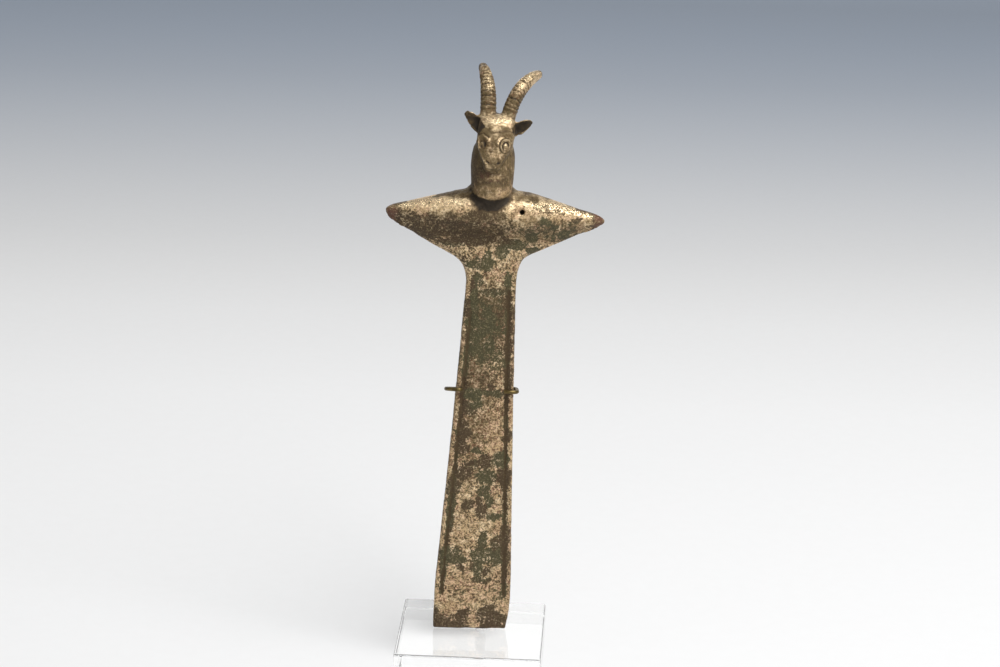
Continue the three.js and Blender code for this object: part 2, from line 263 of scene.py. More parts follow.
def patinaBronze():
    n = Nodes("patina bronze")
    place = n.mapped()
    names = ("wearAndHighlight", "dark", "tone", "film", "hollow", "calm")
    wearAndHighlight, dark, tone, film, hollow, calm = (n.painted(name) for name in names)
    lively = n.ramp(calm, 0, 1, (1, 0.25))
    blotches = n.noise(place, 0.5, 6, 0.7, 0.3)
    specks = n.noise(place, 1.5, 5, 0.72)
    dots = n.noise(n.mapped(shift=(37, 11, 5)), 1.9, 4, 0.6)
    holes = n.noise(n.mapped(shift=(5, 61, 23)), 1.0, 2, 0.5)
    grain = n.noise(place, 5, 3, 0.65)
    drift = n.noise(place, 0.2, 4, 0.6)
    hue = {name: rgb(*levels) for name, levels in bronzeColours.items()}

    # cream, pinkish and ochre crust, in soft clouds
    tan = n.mix(n.ramp(drift, 0.42, 0.58), hue["cream"], hue["pinkish"])
    tan = n.mix(n.ramp(blotches, 0.4, 0.56, (0, 0.9)), tan, hue["ochre"])
    tan = n.mix(n.ramp(specks, 0.46, 0.58, (0, 0.8)), tan, hue["speck"])
    tan = n.mix(n.ramp(grain, 0.45, 0.65, (0, 0.5)), tan, hue["grain"])
    # worn tops in a lighter colour, partly real wear and partly painted highlight where they face up
    tan = n.mix(n.times(wearAndHighlight, 0.6), tan, hue["rubbedAndLit"])

    # a thin olive film over it
    unrest = n.times(n.sum(n.swing(specks, 2.8), n.swing(blotches, 1.4)), lively)
    glaze = n.sum(film, n.times(unrest, n.ramp(film, 0, 0.4)))
    tan = n.mix(n.ramp(glaze, 0, 0.9, (0, 0.96)), tan, hue["film"])

    # dark oxide, olive to purple-brown, red-brown where it is thickest
    brownShare = n.ramp(n.sum(tone, n.swing(blotches, 0.8)), 0.3, 0.6)
    oxide = n.mix(brownShare, hue["olive"], hue["purpleBrown"])
    oxide = n.mix(n.ramp(tone, 1, 1.25), oxide, hue["redBrown"])
    oxide = n.mix(n.ramp(grain, 0.4, 0.62, (0, 0.72)), oxide, hue["deepBrown"])
    oxide = n.mix(n.ramp(dots, 0.45, 0.36, (0, 0.75)), oxide, hue["crustDot"])

    # broad patches broken at their edges, and pits all over
    broken = n.sum(n.swing(blotches, 2.4), n.swing(specks, 2.6))
    darkShare = n.ramp(n.sum(dark, n.times(broken, lively)), 0.32, 0.68)
    pits = n.times(n.ramp(n.sum(dots, n.swing(specks, 0.6)), 0.54, 0.61), lively)
    pits = n.larger(pits, n.times(n.ramp(holes, 0.59, 0.63), n.ramp(calm, 0.3, 0.7, (1, 0.15))))
    pitColour = n.mix(n.ramp(drift, 0.45, 0.55), hue["pit"], hue["redPit"])
    colour = n.mix(n.times(pits, 0.85), tan, pitColour)
    colour = n.mix(n.times(darkShare, 0.95), colour, oxide)
    # dirt and painted shade in the hollows, darkest under the neck's lip and in the ears
    colour = n.mix(n.ramp(hollow, 0.1, 0.6, (0, 0.8)), colour, hue["dirtAndShade"])
    colour = n.mix(n.ramp(hollow, 0.55, 1, (0, 0.9)), colour, hue["deepShadeAndDirt"])
    n.finish("Base Color", colour)

    # bare crust shines a little, and the worn and highlighted tops most
    dull = n.larger(n.larger(n.larger(darkShare, n.times(pits, 0.8)), film), hollow)
    n.finish("Metallic", n.sum(n.ramp(dull, 0, 1, (0.6, 0.12)), n.times(wearAndHighlight, 0.2)))
    rough = n.sum(n.ramp(dull, 0, 1, (0.42, 0.6)), n.swing(grain, 0.3))
    n.finish("Roughness", n.sum(rough, n.times(wearAndHighlight, -0.16)))
    n.finish("Specular IOR Level", 0.35)
    height = n.sum(n.times(pits, -0.9), n.times(darkShare, -0.5))
    height = n.sum(height, n.times(grain, 0.7))
    height = n.sum(height, n.times(blotches, 0.8))
    n.relief(height, 0.2)
    return n.material


brassColours = {"dark": (84, 71, 40), "light": (112, 95, 56), "fleck": (60, 50, 30)}


def tonedBrass():
    n = Nodes("toned brass")
    place = n.mapped()
    fine = n.noise(place, 3, 4, 0.6)
    broad = n.noise(place, 0.35, 3, 0.5)
    colour = n.mix(n.ramp(broad, 0.4, 0.6), rgb(*brassColours["dark"]), rgb(*brassColours["light"]))
    colour = n.mix(n.ramp(fine, 0.5, 0.7, (0, 0.6)), colour, rgb(*brassColours["fleck"]))
    n.finish("Base Color", colour)
    n.finish("Metallic", 0.75)
    n.finish("Roughness", n.ramp(fine, 0.3, 0.7, (0.34, 0.5)))
    n.relief(fine, 0.03, 0.5)
    return n.material


def clearAcrylic():
    n = Nodes("clear acrylic")
    n.finish("Base Color", (0.99, 0.99, 0.985, 1))
    n.finish("Transmission Weight", 0.94)
    n.finish("IOR", 1.49)
    haze = n.noise(n.mapped(), 0.25, 4, 0.6)
    n.finish("Roughness", n.ramp(haze, 0.45, 0.75, (0.0, 0.05)))
    return n.material


casting = {
    "weld": 0.002,  # the CAD's points closer than this are one
    "voxel": 0.56,  # between the points of its skin
    "fineFrom": 156,  # above this height the points lie twice as close
    "face": (-8.5, 5.5, 165.5, 179.5),  # left, right, low, high: here they are closest
    "relax": 26,  # rounds of evening out
}
blade = {
    "edgeHalf": 13.1, "narrowHalf": 8.35,  # half its width at the edge and at the narrowest
    "straightTo": 18, "narrowAt": 125, "hollow": 0.25,  # how far its sides curve in
    "groove": 2.4,  # in from the side
    "edgeThick": 5, "topThick": 6.4,
}
headPlace = {"x": -1.1, "yaw": -8}


def readPoints(mesh):
    co = np.empty(len(mesh.vertices) * 3)
    mesh.vertices.foreach_get("co", co)
    return co.reshape(-1, 3)


def toCasting(points):
    turn = np.array(castingPlace.to_3x3())
    return (points - np.array(castingPlace.translation)) @ turn / mm


def fromCasting(points):
    turn = np.array(castingPlace.to_3x3())
    return points * mm @ turn.T + np.array(castingPlace.translation)


def neighbourMean(points, edges):
    count = np.bincount(edges.ravel(), minlength=len(points))
    total = np.empty_like(points)
    for axis in range(3):
        total[:, axis] = np.bincount(edges[:, 0], points[edges[:, 1], axis], len(points))
        total[:, axis] += np.bincount(edges[:, 1], points[edges[:, 0], axis], len(points))
    return total / np.maximum(count, 1)[:, None]


def pointNormals(mesh, points):
    mesh.vertices.foreach_set("co", fromCasting(points).ravel())
    mesh.update()
    normals = np.empty(len(points) * 3)
    mesh.vertex_normals.foreach_get("vector", normals)
    return normals.reshape(-1, 3) @ np.array(castingPlace.to_3x3())


def bladeHalf(z):
    up = np.clip((z - blade["straightTo"]) / (blade["narrowAt"] - blade["straightTo"]), 0, 1)
    straight = blade["edgeHalf"] + (blade["narrowHalf"] - blade["edgeHalf"]) * up
    return straight - blade["hollow"] * 4 * up * (1 - up)


# dark patches on the decorated face: across, up, half width, half height, and 0 olive to 1 purple-brown
patches = [
    # along the cutting edge
    (-7.5, 1.8, 6, 3.4, 0.9), (6, 5, 4, 4.6, 1), (9.4, 3, 3.4, 3.4, 1), (-12.4, 5, 1, 3.5, 0.6),
    (0, 0, 12, 0.8, 0.9), (-3.2, 5.6, 2.2, 2, 0.8), (-2, 7.2, 1.8, 1.4, 0.8),
    # the lower blade
    (-9.5, 28.4, 4.6, 2.4, 0.3), (-6.5, 27, 3.2, 2.8, 0.2), (-4.5, 23.4, 1.5, 1.7, 0.7),
    (-10.6, 23, 1.3, 3.5, 0.4), (1.5, 28, 3, 2.6, 0.2), (2.5, 34, 1.7, 3.5, 0.3), (4, 28.3, 3, 2.4, 0),
    (7.8, 29, 3, 3.4, 0.1), (7, 33, 1.6, 3, 0.5), (10.2, 35.6, 2.2, 3.8, 1), (10.6, 28.5, 1.4, 4, 0.7),
    (1, 23, 2, 2.4, 0.3), (2.4, 19.4, 3, 1.5, 0.4), (4.4, 23, 1, 1.6, 0.7),
    # the middle
    (5.5, 43, 2.4, 1.3, 0.1), (1.4, 45, 1.8, 2.4, 0.7), (-3.3, 46.6, 1.9, 1.6, 0.6),
    (-9, 42, 1.5, 5, 0.4), (-8.8, 53, 2.3, 3, 0.5), (-9, 47, 1.6, 3.2, 0.3), (0.2, 48, 1, 3.4, 0.6),
    (4, 48.4, 1.5, 1.8, 0.1), (2, 52, 2.2, 2, 0), (2, 57.4, 3, 2.6, 0), (-5.5, 58.6, 2.8, 2.2, 0.8),
    (8.6, 57, 2.6, 3.1, 0.9), (1.5, 62.6, 2.3, 2.7, 0.7), (-3.5, 61.4, 3.2, 1.2, 0.5),
    (7, 63.6, 2.8, 2.8, 0.1), (-6.3, 67, 1.9, 1.5, 0.8), (-1.6, 66.6, 1.8, 1.3, 0.2),
    (-6, 73, 2.2, 4, 0.9), (9.6, 72.6, 1.2, 1.7, 0.8), (-4.8, 81.6, 2.4, 2.4, 0.5),
    (-2.4, 83, 1.8, 1.5, 0.1), (-4, 86.6, 3.5, 2, 0), (2.5, 87.2, 4, 1.1, 0.3), (1.7, 89.6, 1.5, 0.9, 1),
    # the upper blade
    (-4, 103, 2.3, 2.2, 0), (0.6, 104, 1.8, 3, 0.1), (-4, 108, 2.6, 3.5, 0.2), (-0.5, 111.5, 3, 3.4, 0),
    (-4.5, 112.4, 2.2, 1.8, 0.2), (-0.8, 115.8, 1.7, 1.6, 0), (-5, 119.5, 1.2, 4, 0),
    (0.5, 123, 4.4, 1.3, 0.4), (-4.3, 127, 1.7, 2.2, 0.2), (5.5, 128.3, 1.1, 2.4, 0.2),
    (-5.3, 131.8, 3.6, 1.7, 0.1), (-1.8, 132.4, 2, 1.8, 0.3),
    # its margins
    (7.6, 116.5, 1.2, 3.4, 1), (7.6, 107, 1.2, 6, 0.9), (8, 93, 1.7, 5, 0.9), (-8, 117, 1.2, 3, 0.8),
    # the arms, and just below them
    (7, 139.6, 4.2, 1.8, 0.2), (3.5, 137.4, 2, 2.3, 0.2), (-1.2, 135.6, 1.3, 1, 0.2),
    (12.7, 142.7, 1.5, 1.3, 0.1), (16.7, 148.6, 1.6, 1.3, 0.1), (23.3, 143.8, 1.6, 1.5, 0.3),
    (19.5, 142.2, 0.8, 0.8, 0.6), (17.3, 143.2, 0.6, 0.6, 0.5), (19.6, 146.4, 1.1, 0.8, 0.9),
    (27.2, 149.2, 1.3, 0.9, 0.9), (13, 137.4, 1.9, 1.3, 0.2), (-6.5, 141.4, 4.2, 2.4, 0.6),
    (-1.8, 141.2, 1.6, 0.9, 0.7), (-3, 133.2, 3.5, 1.6, 0.2), (-22, 142, 4, 2, 0.5), (-14, 139, 4, 1.6, 0.4),
]

# how thick the olive film lies up the middle of the decorated face: height and share
filmUp = [
    (0, 0.2), (7, 0.2), (10, 0.05), (20, 0.1), (28, 0.35), (35, 0.1), (50, 0.2), (57, 0.55), (65, 0.45),
    (70, 0.58), (82, 0.64), (92, 0.72), (100, 0.78), (106, 0.96), (117, 0.95), (124, 0.6), (131, 0.25),
    (137, 0.35),
]

# ring-shaped spots on the right arm: across, up, size
armSpots = [
    (17.6, 146.6, 1.3), (20.6, 145, 1.1), (22.8, 143.6, 1.5), (15.4, 143.6, 1.2), (12.4, 141.4, 1.5),
    (19, 142.2, 1.1), (25.6, 147.4, 1.1), (9.6, 144.6, 1.3), (14.2, 147.6, 1), (28, 150.2, 0.9),
]


class Skin:
    # the casting's points and what lies on them: how dark the oxide is, its tone, the thin film,
    # and how calm the pattern of the three is; each zone below adds its own
    def __init__(self, points, normals):
        self.points = points
        self.normals = normals
        self.x, self.y, self.z = points.T
        self.front = fade(-normals[:, 1], 0.1, 0.5)
        self.wobble = np.stack([swell(points, 2.2, seed) for seed in (11, 21)], axis=1)
        self.broad = swell(points, 9, 31)
        self.ragged = 7 * swell(points, 6, 111)
        self.clots = swell(points, 2.6, 131)
        self.mottled = swell(points, 1.9, 121)
        self.dark = 0.26 + 0.5 * self.broad
        self.tone = 0.2 + 0.6 * fade(layeredCloud(points, 7, 41), 0.35, 0.65)
        self.film = np.zeros(len(points))
        self.calm = np.zeros(len(points))

    def tint(self, tone, share):
        self.tone = self.tone * (1 - share) + tone * share

    def cover(self, film):
        self.film = np.maximum(self.film, film)


# the upper blade is darker in front, the back has broad patches, and the front those of the list
def coatPatches(skin):
    skin.dark += 0.22 * between(skin.z, 84, 100, 120, 128) * skin.front
    skin.dark += 0.6 * fade(layeredCloud(skin.points, 7.5, 51, 4), 0.48, 0.58) * (1 - skin.front)
    for x, z, halfX, halfZ, tone in patches:
        across = skin.x - x + 3 * skin.wobble[:, 0]
        up = skin.z - z + 3 * skin.wobble[:, 1]
        far = np.hypot(across / halfX, up / halfZ)
        strength = fade(-far, -1.55, -0.75) * skin.front
        skin.dark = np.maximum(skin.dark, strength * 0.9)
        skin.tint(tone, strength)


def coatBlade(skin):
    x, z = skin.x, skin.z
    heights, shares = zip(*filmUp)
    skin.film = np.interp(z, heights, shares)
    skin.film -= 0.35 * fade(x, 0, 4) * between(z, 58, 64, 100, 112)
    skin.film *= 1 - fade(z, 133, 138)
    streaks = swell(skin.points * [0.35, 1, 1.6], 4, 151) * between(z, 55, 68, 120, 128) * skin.front
    skin.film += 0.7 * streaks
    skin.dark += 0.25 * streaks
    skin.calm += 0.3 * bump(z, 95, 30)


# the underside of the arms kept its dark skin, thicker on the left, and is darkened further there as painted
# shade
def coatArms(skin):
    x, z = skin.x, skin.z
    skinTop = 151.6 - 0.03 * np.abs(x) + 2.4 * bump(x, -2, 6) + 0.55 * skin.ragged
    leftShadeAndSkin = 1 - fade(x + 1.6 * skin.ragged, -2, 9)
    undersideSkinAndShade = fade(skinTop - z, -0.6, 3.4) * fade(z, 137, 142.5)
    skin.cover(undersideSkinAndShade * (0.5 + 0.3 * leftShadeAndSkin + 0.5 * skin.broad + 0.5 * skin.clots))
    skin.dark += undersideSkinAndShade * (0.06 + 0.24 * leftShadeAndSkin + 0.9 * skin.clots)
    skin.tint(0.35 + 0.5 * leftShadeAndSkin, undersideSkinAndShade)
    skin.calm += (0.25 + 0.25 * fade(x, 4, 9)) * undersideSkinAndShade + 0.5 * between(z, 147, 150.5, 153.5, 156)
    for spotX, spotZ, size in armSpots:
        far = np.hypot(x - spotX + 0.8 * skin.wobble[:, 0], z - spotZ + 0.8 * skin.wobble[:, 1]) / size
        skin.dark += skin.front * (0.17 * bump(far, 1, 0.4) - 0.2 * bump(far, 0, 0.7))
        skin.film += skin.front * 0.16 * fade(-far, -1.2, -0.9)
    tips = fade(np.abs(x) + 0.5 * skin.ragged, 30.6, 33.6) * fade(z, 140, 146)
    skin.cover(tips * 0.7)
    skin.dark += (0.36 + 0.9 * skin.clots) * tips
    skin.tint(1.2, tips)


# the neck is brown all over, darker on its left as painted shade and under the muzzle as a painted shadow,
# but for the lit fold at its foot, lightened as a painted highlight
def coatNeck(skin):
    x, z = skin.x, skin.z
    onNeck = between(z, 153.5, 156, 168, 175)
    litFold = between(z, 155.5, 156.5, 159.8, 160.8) * bump(x, -1.5, 7)
    skin.cover((0.78 + 0.22 * fade(-x, 2, 7) - 0.5 * litFold + 1.3 * skin.mottled) * onNeck)
    muzzleShadow = bump(x, -2, 6.5) * bump(z, 163.6, 2.6) * skin.front
    darker = 0.08 + 0.3 * fade(-x, 3, 7) + 0.34 * muzzleShadow - 0.3 * litFold + 1.1 * skin.mottled
    skin.dark += darker * onNeck - 0.12 * fade(z, 153.5, 156)
    skin.tint(0.75 + 0.5 * muzzleShadow, onNeck)
    skin.calm += 0.8 * fade(z, 153.5, 156)


# the head is less brown, with a painted highlight on the brow and where it faces up, a brown flush under the
# brow, and painted shade on the left of the face
def coatHead(skin):
    x, y, z = skin.x, skin.y, skin.z
    muzzle = bump(x, -1.6, 2.6) * bump(z, 168.6, 3)
    cheekFilmAndShade = 0.62 + 0.38 * fade(-x, 3.2, 6) + 0.2 * fade(x, 0.5, 3) * fade(173 - z, 0, 3) - 0.3 * muzzle
    skin.cover(cheekFilmAndShade * between(z, 166, 169, 177.5, 180))
    skin.cover((0.55 + 0.9 * skin.mottled) * fade(z, 176.5, 178))
    browHighlight = bump(z, 181.2 + 0.05 * (x + 1) ** 2, 1.1) * fade(-skin.normals[:, 1], 0, 0.4)
    flush = bump(z, 178.6, 1.8) * bump(x, -1.6, 4.5) * fade(-y, 2, 3)
    skin.film += (0.5 * flush - 0.18 * browHighlight) * (np.abs(x + 1) < 5)
    skin.tint(0.9, flush)
    # painted highlight: less film where the head faces up
    skin.film -= 0.55 * fade(skin.normals[:, 2], 0.4, 0.8) * between(z, 164, 167, 182, 184)
    skin.calm -= 0.3 * fade(z, 179, 181)


# the horns are olive below, brown at their very tips
def coatHorns(skin):
    z = skin.z
    skin.cover(0.85 * between(z, 181.5, 184, 188.5, 192.5))
    skin.cover(0.6 * fade(z, 193.6, 195))
    skin.tone = np.where(z > 182, 0.1 + 0.8 * fade(z, 190, 193), skin.tone)


# both grooves are darkened with dirt and painted shade, and the margins outside them are barer
def coatGrooves(skin):
    x, z = skin.x, skin.z
    for side in (-1, 1):
        inGroove = bump(x - side * (bladeHalf(z) - blade["groove"]), 0, 0.8) * skin.front
        inGroove = inGroove * between(z, 11, 15, 125, 130)
        skin.dark += 0.85 * inGroove
        skin.cover(0.9 * inGroove)
        margin = fade(side * x - bladeHalf(z) + 1.7, 0, 0.4) * between(z, 9, 13, 127, 132) * skin.front
        skin.film *= 1 - 0.45 * margin
        skin.dark -= 0.16 * margin * fade(z, 60, 80)


def coatedSkin(points, normals):
    skin = Skin(points, normals)
    for coat in (coatPatches, coatBlade, coatArms, coatNeck, coatHead, coatHorns, coatGrooves):
        coat(skin)
    skin.film = np.clip(skin.film, 0, 1)
    return skin


# what is cut and modelled on the face, in mm across and up: rings and strokes,
# each with its half width, how far it stands out, and how much dirt and painted shade it holds, below 0 a
# painted highlight
rings = [
    {"at": (1.9, 173.8), "half": (1.0, 1.3), "wide": 0.24, "out": -0.2, "dirtAndShade": 0.5},
    {"at": (1.9, 173.9), "half": (1.5, 1.9), "wide": 0.3, "out": 0.14, "dirtAndShade": -0.2},
    {"at": (1.9, 174.0), "half": (1.95, 2.4), "wide": 0.24, "out": -0.16, "dirtAndShade": 0.36},
    {"at": (-5.5, 173.6), "half": (0.6, 0.9), "wide": 0.6, "out": -0.2, "dirtAndShade": 0.55},
    {"at": (-5.6, 174.0), "half": (1.35, 1.95), "wide": 0.3, "out": 0.15, "dirtAndShade": -0.3},
]
strokes = [  # half width, how far out, painted shade and dirt, below 0 highlight, and the points of its line
    # the right eye
    (0.8, -0.08, 0.3, (1.7, 173.9), (2.1, 173.7)),
    (0.4, 0.3, -0.3, (-0.6, 176), (0.6, 177.3), (2.3, 177.8), (3.9, 176.9), (5, 175.2)),
    (0.3, -0.14, 0.3, (-0.2, 178.1), (2.3, 178.7), (4.4, 177.8)),
    # the left eye
    (0.36, 0.25, -0.2, (-7.1, 175.8), (-5.7, 176.6), (-4, 175.5)),
    (0.28, -0.14, 0.4, (-6.9, 176.7), (-5.6, 177.4), (-3.8, 176.4)),
    # the ridges and hollows of the cheeks and nose
    (0.55, 0.25, -0.5, (-1.1, 175.5), (-0.7, 172), (-0.2, 169.8)),
    (0.6, -0.15, 0.3, (-2.4, 175), (-2.6, 172)),
    (0.34, 0.26, -1.1, (-7, 175.4), (-6.7, 172.5), (-5.7, 170.2), (-4.5, 168.3)),
    (0.5, -0.08, 0.35, (-3.4, 172.4), (-3.1, 171.8)),
    # the nostrils, the mouth and the lower lip
    (0.36, -0.35, 1, (-4.1, 168.9), (-3.6, 168.7)),
    (0.36, -0.35, 1, (-0.4, 168.6), (0.2, 168.5)),
    (0.26, -0.14, 0.45, (-3.4, 168.1), (-2, 168.4), (-0.4, 168)),
    (0.55, 0.3, -1.2, (-3.8, 167.4), (-2.4, 167), (-1.2, 167.2)),
    # the brow
    (0.7, 0.2, -1.3, (-3.1, 178.6), (-1.5, 179.2), (-0.3, 179.1)),
    (0.35, -0.05, 0.3, (-3.3, 177.6), (-1.8, 177.9), (-0.4, 178.1)),
]


def lineDistance(flat, line):
    nearest = np.full(len(flat), 1e3)
    for start, end in zip(line, line[1:]):
        start = np.array(start)
        run = np.array(end) - start
        along = np.clip((flat - start) @ run / (run @ run), 0, 1)
        nearest = np.minimum(nearest, np.linalg.norm(flat - start - along[:, None] * run, axis=1))
    return nearest


# the face's cuts and swellings, with dirt and painted shade in them and painted highlights on some raised
# ones
def carveFace(points, normals):
    flat = points[:, [0, 2]]
    facing = fade(-normals[:, 1], 0.05, 0.3) * fade(points[:, 2], 166, 167) * fade(-points[:, 1], 1.5, 3)
    out = np.zeros(len(points))
    dirtAndShade = np.zeros(len(points))
    for ring in rings:
        away = (flat - ring["at"]) / ring["half"]
        far = (np.linalg.norm(away, axis=1) - 1) * min(ring["half"])
        out += ring["out"] * bump(far, 0, ring["wide"])
        dirtAndShade += ring["dirtAndShade"] * bump(far, 0, ring["wide"])
    for wide, outward, dirtAndShadeShare, *line in strokes:
        mark = bump(lineDistance(flat, line), 0, wide)
        out += outward * mark
        dirtAndShade += dirtAndShadeShare * mark
    return out * facing, dirtAndShade * facing


# combed hair down the right of the neck with dirt and painted shade in its furrows, a painted shadow under
# its lip, and dark spots
def carveNeck(points, normals):
    x, y, z = points.T
    facing = fade(-normals[:, 1], 0.1, 0.4)
    comb = fade(x, 0, 2) * between(z, 157, 160, 170, 173) * facing
    lines = np.sin(2 * pi * (x + 0.05 * (z - 165)) / 0.85 + 2 * layeredCloud(points, 3, 81))
    shadowUnderLip = between(z, 149.8, 152.5, 155.4, 157) * bump(x, -3, 7) * fade(-y, 1, 4)
    spots = bump(z, 161.6, 0.9) * fade(layeredCloud(points, 1.6, 91), 0.45, 0.6) * facing
    return 0.06 * comb * lines, 0.3 * comb * fade(-lines, 0.2, 0.9) + 1.3 * shadowUnderLip + 0.4 * spots


horns = {
    "root": (1.6, 180.2), "bend": 0.9, "ribs": 11, "ribbedFrom": 0.1, "ribbedTo": 0.74, "deep": 0.15,
    "left": {"side": -1, "root": 3.5, "lean": 0, "spread": 4.7, "rise": 15.1, "back": 14},
    "right": {"side": 1, "root": 3.0, "lean": 1.8, "spread": 8.8, "rise": 14.1, "back": 14},
}


def headToCasting(points):
    yaw = radians(headPlace["yaw"])
    x, y, z = points.T
    return np.stack([x * cos(yaw) - y * sin(yaw) + headPlace["x"], x * sin(yaw) + y * cos(yaw), z], axis=1)


# how far along its horn each point lies, from 0 to 1, and how near it is to the horn's middle line
def alongHorn(points, name):
    sweep = horns[name]
    rootY, rootZ = horns["root"]
    side = sweep["side"]
    root = np.array([side * sweep["root"], rootY, rootZ])
    knee = root + [side * sweep["lean"], sweep["back"] * 0.15, sweep["rise"] * horns["bend"]]
    tip = root + [side * sweep["spread"], sweep["back"], sweep["rise"]]
    steps = 80
    shares = np.linspace(0, 1, steps + 1)[:, None]
    path = headToCasting(root * (1 - shares) ** 2 + 2 * knee * shares * (1 - shares) + tip * shares ** 2)
    far = np.linalg.norm(points[:, None] - path[None], axis=2)
    return far.argmin(axis=1) / steps, far.min(axis=1)


# uneven ribs across the fronts of the horns, with dirt and painted shade in their furrows and a painted
# highlight on their crests
def carveHorns(points, normals):
    out = np.zeros(len(points))
    dirtAndShade = np.zeros(len(points))
    above = np.flatnonzero(points[:, 2] > 182.6)
    high = points[above]
    wobble = swell(high, 1.8, 101)
    start = horns["ribbedFrom"]
    end = horns["ribbedTo"]
    for name in ("left", "right"):
        along, far = alongHorn(high, name)
        own = far < 3.6
        front = fade(-normals[above, 1], -0.25, 0.3)
        ribbed = front * between(along, start, start + 0.06, end - 0.05, end) * own
        wave = np.cos(2 * pi * (along - start) * horns["ribs"] / (end - start) + 4 * wobble)
        out[above] += horns["deep"] * ribbed * (np.abs(wave) ** 0.7 * np.sign(wave))
        dirtAndShade[above] += ribbed * (0.4 * fade(-wave, 0, 0.8) - 0.3 * fade(wave, 0.2, 0.8)) * (0.8 + wobble)
    return out, dirtAndShade


ears = {
    "rootZ": 176.9,
    "left": {"side": -1, "x": -5.2, "rise": 41, "length": 8.9, "width": 5.6},
    "right": {"side": 1, "x": 3.1, "rise": 31, "length": 8.6, "width": 5.0},
}


# the hollows of the ears, darkened as painted shade, and their upper rims, lightened as a painted highlight
def earMarks(points, normals):
    shadedEarHollow = np.zeros(len(points))
    litRim = np.zeros(len(points))
    for name in ("left", "right"):
        ear = ears[name]
        rise = radians(ear["rise"])
        x = points[:, 0] - ear["x"]
        z = points[:, 2] - ears["rootZ"]
        along = (ear["side"] * x * cos(rise) + z * sin(rise)) / ear["length"]
        across = -ear["side"] * x * sin(rise) + z * cos(rise)
        t = np.clip(along, 0, 1)
        half = ear["width"] / 2 * (0.85 + 0.85 * t - 1.42 * t ** 2)
        onEar = fade(along, 0.02, 0.2) * (along < 1.1) * (np.abs(points[:, 1]) < 4)
        front = fade(-normals[:, 1], 0, 0.35)
        shadedEarHollow = np.maximum(shadedEarHollow, onEar * front * fade(0.8 - np.abs(across) / half, 0, 0.15))
        litRim = np.maximum(litRim, onEar * fade(across / half, 0.72, 0.9))
    return shadedEarHollow, litRim


# an even skin of points over the CAD's shape, closer on the head and closest on the face
def skinned():
    bm = bmesh.new()
    bm.from_mesh(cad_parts["axe_head"].data)
    bmesh.ops.remove_doubles(bm, verts=bm.verts, dist=casting["weld"] * mm)
    cadSurface = BVHTree.FromBMesh(bm)
    piece = pieceFrom(bm, "bronze_axe")
    skin = piece.modifiers.new("skin", "REMESH")
    skin.mode = "VOXEL"
    skin.voxel_size = casting["voxel"] * mm
    settle(piece)
    bm = bmesh.new()
    bm.from_mesh(piece.data)
    left, right, low, high = casting["face"]
    for chosenBy in ("height", "face"):
        x, y, z = toCasting(np.array([v.co for v in bm.verts])).T
        if chosenBy == "height":
            chosen = z > casting["fineFrom"]
        else:
            chosen = (x > left) & (x < right) & (z > low) & (z < high) & (y < -2.5)
        bm.verts.index_update()
        fine = [e for e in bm.edges if all(chosen[v.index] for v in e.verts)]
        bmesh.ops.subdivide_edges(bm, edges=fine, cuts=1, use_grid_fill=True)
        bmesh.ops.triangulate(bm, faces=[f for f in bm.faces if len(f.verts) > 4])
    for v in bm.verts:
        v.co = cadSurface.find_nearest(v.co)[0]
    bm.to_mesh(piece.data)
    bm.free()
    return piece


# facets evened out, more on the round arms and neck than on the blade, less on the head and the tips
def evenedOut(points, edges):
    z = points[:, 2]
    share = 0.12 + 0.88 * fade(z, 124, 136) - 0.6 * fade(z, 168, 173) - 0.2 * fade(z, 184, 188)
    share = share * (1 - 0.9 * fade(np.abs(points[:, 0]), 27, 32))
    for turn in range(casting["relax"]):
        points = points + (neighbourMean(points, edges) - points) * 0.6 * share[:, None]
    return points


# dirt and painted shade gather in hollows of two sizes, besides what the cuts hold
def dirtAndShadeInHollows(points, normals, edges, dirtAndShade):
    z = points[:, 2]
    soft = points
    hollow = dirtAndShade
    for rounds, gain in ((6, 5.0), (24, 1.6)):
        for turn in range(rounds):
            soft = neighbourMean(soft, edges)
        hollow = hollow + gain * np.einsum("ij,ij->i", soft - points, normals)
    # at most half full on the blade, and little of it on the arms
    hollow = np.minimum(hollow, 1 - 0.5 * (1 - fade(z, 128, 134)))
    return hollow * (1 - 0.75 * between(z, 130, 136, 148.5, 150.5))


# how worn the tops are that hands and cloths reach, together with a painted highlight where they face up and
# on the forehead, the horn tips and the raised cuts of the face, and how much of it is painted highlight
def wornAndLitTops(points, normals, dirtAndShade):
    x, y, z = points.T
    wearAndHighlight = fade(normals[:, 2], 0.1, 0.7) * fade(z, 146, 150) * fade(-normals[:, 1], -0.3, 0.2)
    # a painted highlight on the forehead
    foreheadHighlight = bump(x, -1.5, 1.5) * bump(z, 178.1, 1.1) * fade(-y, 2, 3)
    forehead = between(z, 176.5, 178, 180, 181) * fade(-y, 2, 3) * bump(x, -1, 6)
    wearAndHighlight = wearAndHighlight * (1 - 0.8 * forehead) + 1.2 * foreheadHighlight
    # painted highlights on the upper sides of the horn tips
    tipLight = fade(x, 3.6, 5) * fade(z, 189, 191.5) + 0.6 * bump(x, -4.6, 1.5) * bump(z, 192.6, 1.6)
    wearAndHighlight = np.maximum(wearAndHighlight, tipLight * fade(normals[:, 2] - 0.6 * normals[:, 0], 0.1, 0.6))
    paintedHighlight = 0.5 * np.clip(-dirtAndShade - 0.25, 0, 1) * fade(z, 165, 167) + 0.8 * np.maximum(foreheadHighlight, tipLight)
    return np.clip(np.maximum(wearAndHighlight, paintedHighlight), 0, 1), np.clip(paintedHighlight, 0, 1)


